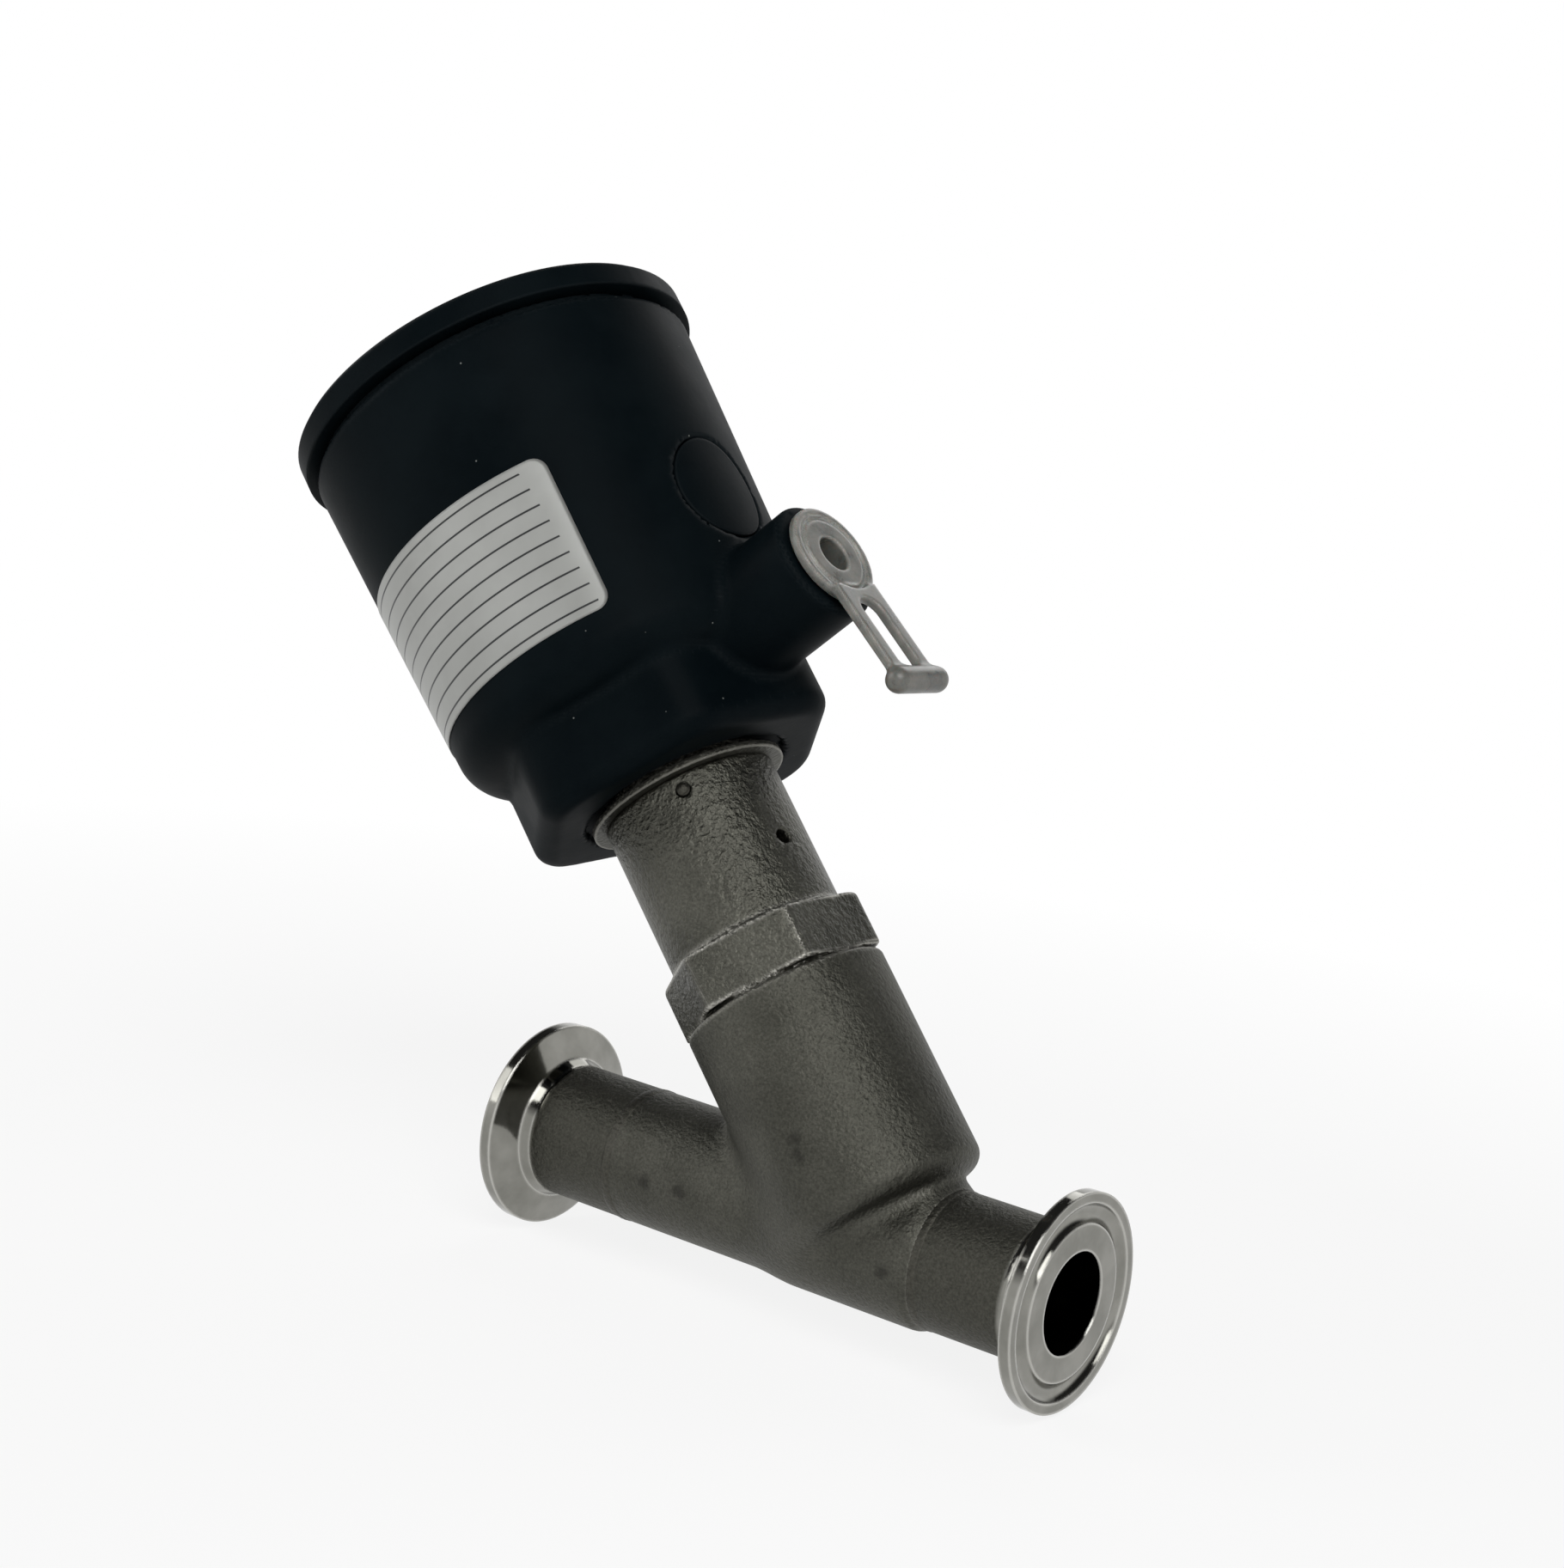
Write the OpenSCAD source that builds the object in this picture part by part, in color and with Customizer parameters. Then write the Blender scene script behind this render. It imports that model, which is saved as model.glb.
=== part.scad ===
// Pneumatic angle-seat valve with clamp ferrules, normally closed, spring return.
// The pipe runs along X. The origin is the centre of the short arm's sealing face.
// The stem leans back over the long arm, in the XZ plane.

/* [Pipe and arms] */
// Angle between the stem and the pipe, degrees
stem_angle = 48.6; // [44:0.1:54]
// Stem crossing to the short arm's sealing face
arm_short = 30.4; // [30:0.1:38]
// Stem crossing to the long arm's sealing face
arm_long = 73.7; // [66:0.1:90]
// Radius of the flow bore in the pipe
bore_r = 8; // [6.5:0.1:8.4]
// Outer radius of the pipe ends
pipe_r = 11; // [10.2:0.1:12]
// Outer radius of the casting where the passages cross
belly_r = 11.7; // [11:0.1:12.5]

/* [Clamp ferrules] */
// Length of each ferrule from its face to the weld
ferrule_len = 22; // [18:0.5:23]
// Radius of the clamping rim
rim_r = 17; // [16.5:0.1:18]
// Thickness of the rim at its edge
rim_t = 2.0; // [1.6:0.1:2.6]
// Slope of the back of the rim, degrees
rim_slope = 20; // [15:1:25]
// Radius of the gasket groove's centre line
groove_ring_r = 13.75; // [12.5:0.05:14.5]
// Radius of the groove's round section
groove_r = 1.6; // [1:0.1:1.8]
// Depth of the gasket groove
groove_deep = 1.2; // [0.6:0.1:1.5]

/* [Body casting] */
// Outer radius of the inclined barrel
barrel_r = 16.9; // [16.4:0.1:19]
// Height of the barrel's lower shoulder above the crossing
barrel_low = 6; // [5:0.1:6.6]
// Rounding of that shoulder
shoulder_r = 3; // [1:0.1:4]
// Height of the barrel's top
barrel_top = 43.3; // [41:0.1:48]
// Radius of the chamber over the seat
chamber_r = 13; // [12.6:0.1:13.2]
// Height of the chamber floor
floor_h = 9.8; // [9.4:0.1:10.4]
// Radius of the seat's orifice
orifice_r = 7.2; // [6:0.1:7.4]
// Width of the raised seat lip
lip_w = 1.2; // [0.8:0.1:1.5]
// Height of the raised seat lip
lip_t = 1.2; // [0.8:0.1:1.6]
// Radius of the bonnet thread
thread_r = 14.1; // [13.8:0.1:14.4]
// Height of the ledge that the bonnet gasket sits on
ledge_h = 26; // [24:0.1:30]

/* [Bonnet] */
// Outer radius of the bonnet tube
tube_r = 14.6; // [14.2:0.1:16]
// Corner radius of the bonnet's hexagon
hex_r = 17.7; // [17.2:0.1:19]
// Length of the hexagon along the stem
hex_len = 9.2; // [7:0.1:10]
// Gap between the hexagon and the barrel
hex_gap = 0.6; // [0.2:0.1:1]
// Turn of the hexagon about the stem, degrees
hex_turn = 25; // [0:1:60]
// Height of the collar's top on the stem axis
collar_top = 80.6; // [79:0.1:84]
// Outer radius of the collar
collar_r = 16.7; // [16:0.1:17]
// Thickness of the collar
collar_t = 1; // [0.6:0.1:1.5]
// Radius of the leak hole
leak_r = 1.25; // [0.8:0.05:1.6]
// Height of the leak hole
leak_h = 64.5; // [63:0.1:68]
// Radius of the packing bore
packing_r = 8; // [7:0.1:8.6]
// Radius of the locating pin
locating_r = 1.05; // [0.8:0.05:1.4]
// Height of the locating pin
locating_h = 77; // [75:0.1:77.4]

/* [Stem and disc] */
// Radius of the stem
stem_r = 4; // [3.6:0.05:4.3]
// Lift of the disc when fully open
stroke = 8; // [6:0.1:8.5]
// Radius of the disc holder
disc_r = 11; // [10.4:0.1:11.6]
// Thickness of the disc seal
seal_t = 2.8; // [2:0.1:3.2]
// Length of the disc holder above the seal
holder_len = 4.7; // [4:0.1:5.2]

/* [Actuator] */
// Radius of the piston bore
cylinder_r = 25; // [24.5:0.1:25.8]
// Height of the floor under the piston
cylinder_low = 101; // [100.6:0.1:103]
// Outer radius of the housing at its lower end
housing_low_r = 31.5; // [30.5:0.1:33]
// Outer radius of the housing under the cap
housing_top_r = 33.9; // [33:0.1:34.4]
// Height of the housing's top
housing_top = 155.7; // [154:0.1:162]
// Rounding of the housing's lower edge
housing_edge_r = 6; // [3:0.1:7]
// Distance from the stem axis to the flats of the six-sided neck
neck_flat = 25; // [24:0.1:26]
// Radius to which the neck's corners are turned down
neck_reach = 27.4; // [26.4:0.1:28]
// Turn of the neck about the stem, degrees
neck_turn = 19; // [0:1:60]
// Radius of the cap
cap_r = 35; // [34.6:0.1:36]
// Thickness of the cap's plate
cap_t = 4.5; // [3.5:0.1:6]
// Radius of the cap's spigot in the housing
spigot_r = 27; // [26.6:0.1:28]
// Length of the cap's spigot
spigot_len = 10; // [8:0.1:12]

/* [Air port and plug] */
// Height of the air port on the stem axis
port_h = 97.3; // [96.8:0.1:98]
// Radius of the air port's boss
boss_r = 10.1; // [9:0.1:10.6]
// Distance of the boss face from the stem axis
boss_out = 43.3; // [41:0.1:48]
// Radius of the port's thread
port_r = 4.9; // [4.4:0.1:5.2]
// Height of the blanked spare port
spare_h = 118.5; // [117.5:0.1:124]
// Radius of the blanked spare port
spare_r = 9; // [7:0.1:9.4]
// Radius of the pull plug's head
plug_head_r = 8.4; // [7:0.1:9]
// Thickness of the pull plug's head
plug_head_t = 1.6; // [1.2:0.1:2.2]
// Length of the pull plug's strap from the port's centre
strap_len = 27.2; // [18:0.1:30]
// Outward lean of the strap, degrees
strap_lean = 8; // [2:1:12]

/* [Label] */
// Lower edge of the label
label_low = 103.6; // [103.2:0.1:108]
// Upper edge of the label
label_top = 130.6; // [124:0.1:140]
// Angle the label covers round the housing, degrees
label_span = 150; // [90:1:170]
// Thickness of the label film
label_t = 0.15; // [0.1:0.05:0.3]

/* [Springs] */
// Wire radius of the outer return spring
outer_wire_r = 1.7; // [1.2:0.1:2]
// Mean radius of the outer return spring
outer_coil_r = 18.6; // [17:0.1:19]
// Wire radius of the inner return spring
inner_wire_r = 1.3; // [0.9:0.1:1.5]
// Mean radius of the inner return spring
inner_coil_r = 12.2; // [10.5:0.1:13]

/* [Hidden] */
$fn = 64;
// Radial clearance of a running fit
run_gap = 0.05;
// Radial clearance between fixed pieces
fit_gap = 0.05;
// Gap between pieces of different bodies that don't touch
free_gap = 0.4;
// Overrun of a cut past a face
cut = 0.5;
steel = "#8f8d86";
bright = "#c9c7c0";
black = "#17181a";
white = "#e9e9e4";
amber = "#d98a1f";
brass = "#b8954c";

// Heights of the stack over the seat
lip_top = floor_h + lip_t;
seal_low = lip_top + run_gap;
seal_high = seal_low + seal_t;
seal_r = disc_r - 1;
holder_top = seal_high + holder_len;
disc_screw_r = 2.5;
disc_nut_t = 4;
disc_nut_r = 5;

// Heights inside the bonnet
gasket_t = 1.5;
bonnet_low = ledge_h + gasket_t;
hex_low = barrel_top + hex_gap;
hex_top = hex_low + hex_len;
neck_r = tube_r - 0.6;
bonnet_top = cylinder_low + 3;
scraper_r = 6.4;
scraper_t = 3;
packing_low = bonnet_low + scraper_t + 1.2;
packing_spring_len = 10;
washer_t = 1.6;
ring_pitch = 2.3;
ring_count = 4;
ring_v = 1;
stack_low = packing_low + packing_spring_len + washer_t;
stack_top = stack_low + (ring_count + 2) * ring_pitch;
gland_len = 6;
gland_head_t = 3;
gland_head_r = 9.4;
cavity_low = stack_top + gland_len;
cavity_r = 10;
cavity_high = 78;
bush_r = 6.6;
bush_low = cavity_high + 4;
bush_high = bonnet_top - 5;
wiper_t = 2.4;
pin_angle = -55.5;
leak_angle = -7;
ring_h = [87, 93];
o_ring_r = 1.1;
o_groove_half = 1.4;
snap_t = 1.2;
snap_low = cylinder_low + 0.35;
snap_groove_r = neck_r - 1.2;

// Heights of the actuator
neck_low = collar_top + 0.3;
neck_high = 96;
neck_edge_r = 5;
recess_r = collar_r + 0.9;
recess_t = 1.4;
cap_low = housing_top + 0.3;
cap_top = cap_low + cap_t;
spigot_low = cap_low - spigot_len;
spigot_in_r = 21.8;
roof_h = cap_low - 3;
lip_groove_h = housing_top - 1.4;
lip_groove_r = housing_top_r - 1.2;
cone_low = neck_high + 4.5;
lock_r = 1;
lock_h = spigot_low + 2.2;
cap_ring_h = spigot_low + 6;
cap_ring_r = 1.2;
vent_r = 2.6;
vent_h = spigot_low - 4;

// Piston and indicator
piston_r = cylinder_r - free_gap;
piston_low = bonnet_top + 0.8;
piston_t = 9.5;
piston_seat = piston_low + 5.5;
piston_hub_r = 8;
piston_screw_r = 3;
piston_washer_t = 1;
piston_top = piston_low + piston_t + 2;
seal_groove_r = cylinder_r - 3.6;
seal_groove_low = piston_low + 1.65;
seal_groove_high = piston_low + 4.75;
guide_groove_r = cylinder_r - 1.8;
guide_low = piston_low + 6.25;
guide_high = piston_low + 8.35;
piston_nut_t = 5;
nut_r = 5.7;
nut_high = piston_top + piston_washer_t + piston_nut_t;
rod_r = 2;
button_r = 4.6;
button_t = 3;
button_top = cap_low + 2;
window_r = 6.4;
window_wall = 1.2;
window_bore_r = 5.2;
window_flange_r = 9;
window_flange_t = 1.5;
window_top = button_top + stroke + 1.2 + window_wall;

// Frame of the pipe: X along the pipe, zero at the crossing
module on_pipe() {
    translate([-arm_short, 0, 0]) children();
}

// Frame of the stem: Z along the stem, X towards the air port, zero at the crossing
module on_stem() {
    on_pipe() rotate([0, stem_angle - 90, 0]) children();
}

// Frame of a port: Z outwards from the stem axis, X down the stem, zero on the axis
module on_port(h) {
    on_stem() translate([0, 0, h]) rotate([0, 90, 0]) children();
}

// Ring between two radii and two heights
module ring(inner, outer, low, high) {
    rotate_extrude() translate([inner, low]) square([outer - inner, high - low]);
}

// Round ring of circular section at height h
module o_ring(mid_r, section_r, h) {
    rotate_extrude() translate([mid_r, h]) circle(section_r, $fn = 24);
}

// Cylinder between two heights
module rod(r, low, high) {
    translate([0, 0, low]) cylinder(r = r, h = high - low);
}

// Height of wire centre at a share of the coil: dead end turns, then even pitch
function coil_height(share, turns, wire_r, low, high) =
    let (turn = share * turns, dead = 1, run = high - low - 6 * wire_r)
    turn < dead ? low + wire_r + 2 * wire_r * turn / dead
    : turn > turns - dead ? high - wire_r - 2 * wire_r * (turns - turn) / dead
    : low + 3 * wire_r + run * (turn - dead) / (turns - 2 * dead);

// Compression spring of round wire, swept ring by ring
module coil_spring(coil_r, wire_r, low, high, turns) {
    steps = ceil(turns * 18);
    sides = 8;
    points = [for (i = [0:steps]) for (k = [0:sides - 1])
        let (share = i / steps, turn = 360 * turns * share, side = 360 * k / sides,
            r = coil_r + wire_r * cos(side))
        [r * cos(turn), r * sin(turn),
            coil_height(share, turns, wire_r, low, high) + wire_r * sin(side)]];
    skin = [for (i = [0:steps - 1]) for (k = [0:sides - 1])
        let (a = i * sides + k, b = i * sides + (k + 1) % sides)
        [a, a + sides, b + sides, b]];
    start = [[for (k = [0:sides - 1]) k]];
    end = [[for (k = [0:sides - 1]) steps * sides + sides - 1 - k]];
    polyhedron(points, concat(skin, start, end), convexity = 10);
}

// One clamp ferrule, face at zero and stub running towards -Z
module ferrule() {
    slope_len = (rim_r - pipe_r) * tan(rim_slope);
    foot = rim_t + slope_len;
    neck_wide = 0.8;
    neck_run = 1.2;
    difference() {
        rotate_extrude() polygon([
            [bore_r, 0], [rim_r, 0], [rim_r, -rim_t],
            [pipe_r + neck_wide, neck_wide * tan(rim_slope) - foot],
            [pipe_r, -foot - neck_run], [pipe_r, -ferrule_len], [bore_r, -ferrule_len]]);
        rotate_extrude() translate([groove_ring_r, groove_r - groove_deep]) circle(groove_r, $fn = 32);
    }
}

// Cast Y-shaped body with its passages, seat and threaded barrel
module valve_body() {
    inlet_end = arm_short - ferrule_len;
    outlet_end = ferrule_len - arm_long;
    belly_from = -16;
    belly_taper = 9;
    orifice_low = -3;
    inlet_round_x = -2.5;
    outlet_stop = -15.5;
    color(steel) difference() {
        union() {
            on_pipe() translate([outlet_end, 0, 0]) rotate([0, 90, 0]) rod(pipe_r, 0, inlet_end - outlet_end - cut);
            on_pipe() translate([belly_from, 0, 0]) rotate([0, 90, 0]) rod(belly_r, 0, inlet_end - belly_from);
            on_pipe() translate([belly_from - belly_taper, 0, 0]) rotate([0, 90, 0])
                cylinder(r1 = pipe_r, r2 = belly_r, h = belly_taper);
            on_stem() rotate_extrude() union() {
                translate([0, barrel_low + shoulder_r]) square([barrel_r, barrel_top - barrel_low - shoulder_r]);
                translate([0, barrel_low]) square([barrel_r - shoulder_r, shoulder_r + 1]);
                translate([barrel_r - shoulder_r, barrel_low + shoulder_r]) circle(shoulder_r, $fn = 32);
            }
        }
        difference() {
            union() {
                on_stem() rod(chamber_r, floor_h, barrel_top + cut);
                on_pipe() translate([outlet_end - cut, 0, 0]) rotate([0, 90, 0])
                    rod(bore_r, 0, outlet_stop - outlet_end + cut);
            }
            on_stem() ring(orifice_r, orifice_r + lip_w, floor_h - cut, lip_top);
        }
        on_stem() rod(orifice_r, orifice_low, lip_top + cut);
        on_stem() rod(thread_r, ledge_h, barrel_top + cut);
        on_pipe() translate([inlet_round_x, 0, 0]) rotate([0, 90, 0])
            rod(bore_r, 0, inlet_end - inlet_round_x + cut);
        on_pipe() translate([inlet_round_x, 0, 0]) sphere(bore_r);
    }
}

module inlet_ferrule() {
    color(bright) rotate([0, 90, 0]) ferrule();
}

module outlet_ferrule() {
    color(bright) translate([-arm_short - arm_long, 0, 0]) rotate([0, -90, 0]) ferrule();
}

// Bonnet: threaded shank, hexagon, tube and the neck that carries the actuator
module bonnet() {
    shank_r = thread_r - fit_gap;
    collar_low = collar_top - collar_t;
    color(steel) on_stem() difference() {
        union() {
            rod(shank_r, bonnet_low, barrel_top);
            rod(shank_r + 1.2, barrel_top, hex_low + cut);
            rotate(hex_turn) intersection() {
                translate([0, 0, hex_low]) cylinder(r = hex_r, h = hex_len, $fn = 6);
                translate([0, 0, hex_low]) cylinder(r1 = hex_r + hex_len - 1, r2 = hex_r - 1, h = hex_len);
            }
            rod(tube_r, hex_top - cut, collar_low);
            rod(neck_r, collar_low - cut, bonnet_top);
        }
        rod(stem_r + 0.3, bonnet_low - cut, bonnet_top + cut);
        rod(scraper_r, bonnet_low - cut, bonnet_low + scraper_t);
        rod(packing_r, packing_low, cavity_low + cut);
        rod(cavity_r, cavity_low, cavity_high);
        rod(bush_r, bush_low, bonnet_top + cut);
        rotate(leak_angle) translate([0, 0, leak_h]) rotate([0, 90, 0]) rod(leak_r, 0, tube_r + cut);
        rotate(pin_angle) translate([0, 0, locating_h]) rotate([0, 90, 0])
            rod(locating_r + fit_gap, tube_r - 3, tube_r + cut);
        for (h = ring_h) ring(neck_r - 2 * o_ring_r, neck_r + cut, h - o_groove_half, h + o_groove_half);
        ring(snap_groove_r, neck_r + cut, snap_low - fit_gap, snap_low + snap_t + fit_gap);
    }
}

module bonnet_gasket() {
    color(white) on_stem() ring(chamber_r - 0.6, thread_r - fit_gap, ledge_h, bonnet_low);
}

module stem_scraper() {
    color(white) on_stem() ring(stem_r + run_gap, scraper_r - fit_gap, bonnet_low + 0.2, bonnet_low + scraper_t);
}

module packing_spring() {
    wire_r = 0.7;
    color(bright) on_stem() coil_spring(packing_r - 2, wire_r, packing_low, packing_low + packing_spring_len, 5);
}

module packing_washer() {
    low = packing_low + packing_spring_len;
    color(steel) on_stem() ring(stem_r + 0.3, packing_r - fit_gap, low, low + washer_t);
}

// Section of one packing piece: flat or V-shaped below and above
module packing_section(low, high, v_low, v_high) {
    inner = stem_r + run_gap;
    outer = packing_r - fit_gap;
    mid = (inner + outer) / 2;
    rotate_extrude() polygon([[inner, low], [mid, low + v_low], [outer, low],
        [outer, high], [mid, high + v_high], [inner, high]]);
}

module packing_base_ring() {
    color(white) on_stem() packing_section(stack_low, stack_low + ring_pitch - fit_gap, 0, ring_v);
}

module packing_rings() {
    color(white) on_stem() for (i = [1:ring_count])
        packing_section(stack_low + i * ring_pitch, stack_low + (i + 1) * ring_pitch - fit_gap, ring_v, ring_v);
}

module packing_top_ring() {
    low = stack_low + (ring_count + 1) * ring_pitch;
    color(white) on_stem() packing_section(low, low + ring_pitch, ring_v, 0);
}

// Threaded gland that loads the packing, turned by its slotted head
module gland_nut() {
    slot_w = 2;
    color(brass) on_stem() difference() {
        union() {
            rod(packing_r - fit_gap, stack_top, cavity_low);
            rod(gland_head_r, cavity_low, cavity_low + gland_head_t);
        }
        rod(stem_r + 0.3, stack_top - cut, cavity_low + gland_head_t + cut);
        translate([-gland_head_r - cut, -slot_w / 2, cavity_low + 1])
            cube([2 * (gland_head_r + cut), slot_w, gland_head_t]);
    }
}

module upper_guide_bush() {
    color(brass) on_stem() ring(stem_r + run_gap, bush_r - fit_gap, bush_low, bush_high);
}

module stem_wiper() {
    color(black) on_stem() ring(stem_r + run_gap, bush_r - fit_gap, bush_high, bush_high + wiper_t);
}

module collar_ring() {
    color(steel) on_stem() ring(neck_r + fit_gap, collar_r, collar_top - collar_t, collar_top);
}

module locating_pin() {
    color(bright) on_stem() rotate(pin_angle) translate([0, 0, locating_h]) rotate([0, 90, 0]) union() {
        rod(locating_r, tube_r - 3, tube_r + 0.4);
        intersection() {
            translate([0, 0, tube_r]) sphere(locating_r);
            rod(locating_r, tube_r, tube_r + 2);
        }
    }
}

// Two seals in the bonnet's neck, on which the actuator turns
module neck_o_rings() {
    color(black) on_stem() for (h = ring_h) o_ring(neck_r - o_ring_r + 0.05, o_ring_r - 0.05, h);
}

module snap_ring() {
    gap_w = 7;
    color(bright) on_stem() difference() {
        ring(snap_groove_r + fit_gap, neck_r + 2.2, snap_low, snap_low + snap_t);
        translate([0, -gap_w / 2, snap_low - cut]) cube([neck_r + 4, gap_w, snap_t + 2 * cut]);
    }
}

module stem() {
    color(bright) on_stem() union() {
        rod(disc_screw_r, seal_low - disc_nut_t, holder_top - 2);
        rod(stem_r, holder_top - 2, piston_low);
        rod(piston_screw_r, piston_low - cut, nut_high);
        rod(rod_r, nut_high - cut, nut_high + 4);
    }
}

// Disc holder: its skirt reaches down round the seal
module disc_holder() {
    skirt_low = seal_high - 1.6;
    color(steel) on_stem() difference() {
        rod(disc_r, skirt_low, holder_top);
        rod(seal_r + fit_gap, skirt_low - cut, seal_high);
        rod(disc_screw_r + fit_gap, seal_low, holder_top + cut);
        rod(stem_r + fit_gap, holder_top - 2, holder_top + cut);
    }
}

module disc_seal() {
    color(white) on_stem() ring(disc_screw_r + fit_gap, seal_r, seal_low, seal_high);
}

module disc_nut() {
    color(bright) on_stem() difference() {
        translate([0, 0, seal_low - disc_nut_t]) cylinder(r = disc_nut_r, h = disc_nut_t, $fn = 6);
        rod(disc_screw_r + fit_gap, seal_low - disc_nut_t - cut, seal_low + cut);
    }
}

// Piston: plate with seal and guide grooves, spring trough and central hub
module piston() {
    trough_in = inner_coil_r - inner_wire_r - 1;
    trough_out = outer_coil_r + outer_wire_r + 1;
    color(amber) on_stem() difference() {
        union() {
            rod(piston_r, piston_low, piston_low + piston_t);
            rod(piston_hub_r, piston_low, piston_top);
        }
        ring(trough_in, trough_out, piston_seat, piston_low + piston_t + cut);
        ring(seal_groove_r, piston_r + cut, seal_groove_low - fit_gap, seal_groove_high + fit_gap);
        ring(guide_groove_r, piston_r + cut, guide_low - fit_gap, guide_high + fit_gap);
        rod(piston_screw_r + fit_gap, piston_low - cut, piston_top + cut);
    }
}

module piston_seal() {
    low = seal_groove_low;
    high = seal_groove_high;
    lip_in = seal_groove_r + 1;
    color(black) on_stem() rotate_extrude() polygon([
        [seal_groove_r + fit_gap, low], [lip_in, low], [lip_in + 0.4, low + 1.4],
        [cylinder_r - 1.2, low], [cylinder_r - run_gap, low],
        [cylinder_r - run_gap, low + 1], [cylinder_r - free_gap, high], [seal_groove_r + fit_gap, high]]);
}

module piston_guide_ring() {
    color(white) on_stem() ring(guide_groove_r + fit_gap, cylinder_r - run_gap, guide_low, guide_high);
}

module piston_washer() {
    color(bright) on_stem() ring(piston_screw_r + fit_gap, piston_hub_r - 0.6, piston_top, piston_top + piston_washer_t);
}

module piston_nut() {
    low = piston_top + piston_washer_t;
    color(bright) on_stem() difference() {
        translate([0, 0, low]) cylinder(r = nut_r, h = piston_nut_t, $fn = 6);
        rod(piston_screw_r + fit_gap, low - cut, nut_high + cut);
    }
}

// Indicator rod, pushed over the stem's tip, with its coloured button
module indicator_rod() {
    color(amber) on_stem() difference() {
        union() {
            rod(rod_r + 1.2, nut_high, nut_high + 6);
            rod(rod_r, nut_high + 5, button_top);
            rod(button_r, button_top - button_t, button_top);
        }
        rod(rod_r + fit_gap, nut_high - cut, nut_high + 4 + fit_gap);
    }
}

module outer_spring() {
    color(bright) on_stem() coil_spring(outer_coil_r, outer_wire_r, piston_seat, roof_h, 6);
}

module inner_spring() {
    color(bright) on_stem() rotate(180) coil_spring(inner_coil_r, inner_wire_r, piston_seat, roof_h, 8);
}

// Outline of the housing's round part, as a solid of revolution
module housing_shell(grow, low, high) {
    slope = (housing_top_r - housing_low_r) / (housing_top - cone_low);
    low_r = housing_low_r + slope * (low - cone_low) + grow;
    high_r = housing_low_r + slope * (high - cone_low) + grow;
    translate([0, 0, low]) cylinder(r1 = low_r, r2 = high_r, h = high - low);
}

// Moulded actuator housing: piston cylinder, six-sided neck and air port boss
module actuator_housing() {
    edge_at = housing_low_r - housing_edge_r;
    boss_edge = 1;
    passage_r = 1.8;
    riser_r = 2.4;
    passage_at = 21;
    color(black) difference() {
        union() {
            on_stem() housing_shell(0, cone_low, housing_top);
            on_stem() rotate_extrude() union() {
                translate([0, cone_low - housing_edge_r]) square([edge_at, housing_edge_r + 1]);
                intersection() {
                    translate([edge_at, cone_low]) circle(housing_edge_r, $fn = 48);
                    translate([edge_at, cone_low - housing_edge_r]) square([housing_edge_r, housing_edge_r + 0.01]);
                }
            }
            on_stem() intersection() {
                rotate(neck_turn) translate([0, 0, neck_low])
                    cylinder(r = neck_flat / cos(30), h = neck_high - neck_low, $fn = 6);
                rotate_extrude() union() {
                    translate([0, neck_low]) square([neck_reach - neck_edge_r, neck_high - neck_low + cut]);
                    translate([0, neck_low + neck_edge_r]) square([neck_reach, neck_high - neck_low]);
                    translate([neck_reach - neck_edge_r, neck_low + neck_edge_r]) circle(neck_edge_r, $fn = 48);
                }
            }
            on_port(port_h) rod(boss_r, passage_at, boss_out - boss_edge);
            on_port(port_h) translate([0, 0, boss_out - boss_edge])
                cylinder(r1 = boss_r, r2 = boss_r - boss_edge, h = boss_edge);
        }
        on_stem() rod(cylinder_r, cylinder_low, spigot_low + cut);
        on_stem() rod(spigot_r + fit_gap, spigot_low - 0.3, housing_top + cut);
        on_stem() rod(neck_r + run_gap, neck_low - cut, cylinder_low + cut);
        on_stem() rod(recess_r, neck_low - cut, neck_low + recess_t);
        on_stem() ring(lip_groove_r, cap_r, lip_groove_h, housing_top + cut);
        on_stem() ring(spigot_r - cut, spigot_r + lock_r, lock_h - lock_r - fit_gap, lock_h + lock_r + fit_gap);
        on_port(port_h) rod(port_r + 0.9, passage_at + 6, boss_out + cut);
        on_port(port_h) rod(passage_r, passage_at, passage_at + 6 + cut);
        on_stem() translate([passage_at, 0, 0]) rod(riser_r, port_h - riser_r, cylinder_low + cut);
        on_port(spare_h) rod(spare_r + 0.25, cylinder_r + 4, cap_r);
        on_port(vent_h) rotate([180, 0, 0]) rod(vent_r, cylinder_r - 1, cap_r);
    }
}

// Cap: outer plate with raised rim, spigot with its grooves, and spring seat
module cap() {
    rim_w = 3;
    dish_t = 1;
    edge = 0.8;
    color(black) on_stem() difference() {
        union() {
            rod(spigot_r, spigot_low, cap_low + cut);
            rod(cap_r, cap_low, cap_top - edge);
            translate([0, 0, cap_top - edge]) cylinder(r1 = cap_r, r2 = cap_r - edge, h = edge);
        }
        rod(spigot_in_r, spigot_low - cut, roof_h);
        ring(window_flange_r + 4, cap_r - rim_w, cap_top - dish_t, cap_top + cut);
        ring(spigot_r - lock_r, spigot_r + cut, lock_h - lock_r - fit_gap, lock_h + lock_r + fit_gap);
        ring(spigot_r - 2 * cap_ring_r, spigot_r + cut, cap_ring_h - o_groove_half, cap_ring_h + o_groove_half);
        rod(window_bore_r, roof_h - cut, cap_top + cut);
        rod(window_flange_r + fit_gap, cap_top - window_flange_t, cap_top + cut);
    }
}

module cap_o_ring() {
    color(black) on_stem() o_ring(spigot_r - cap_ring_r + fit_gap, cap_ring_r - fit_gap, cap_ring_h);
}

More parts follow.
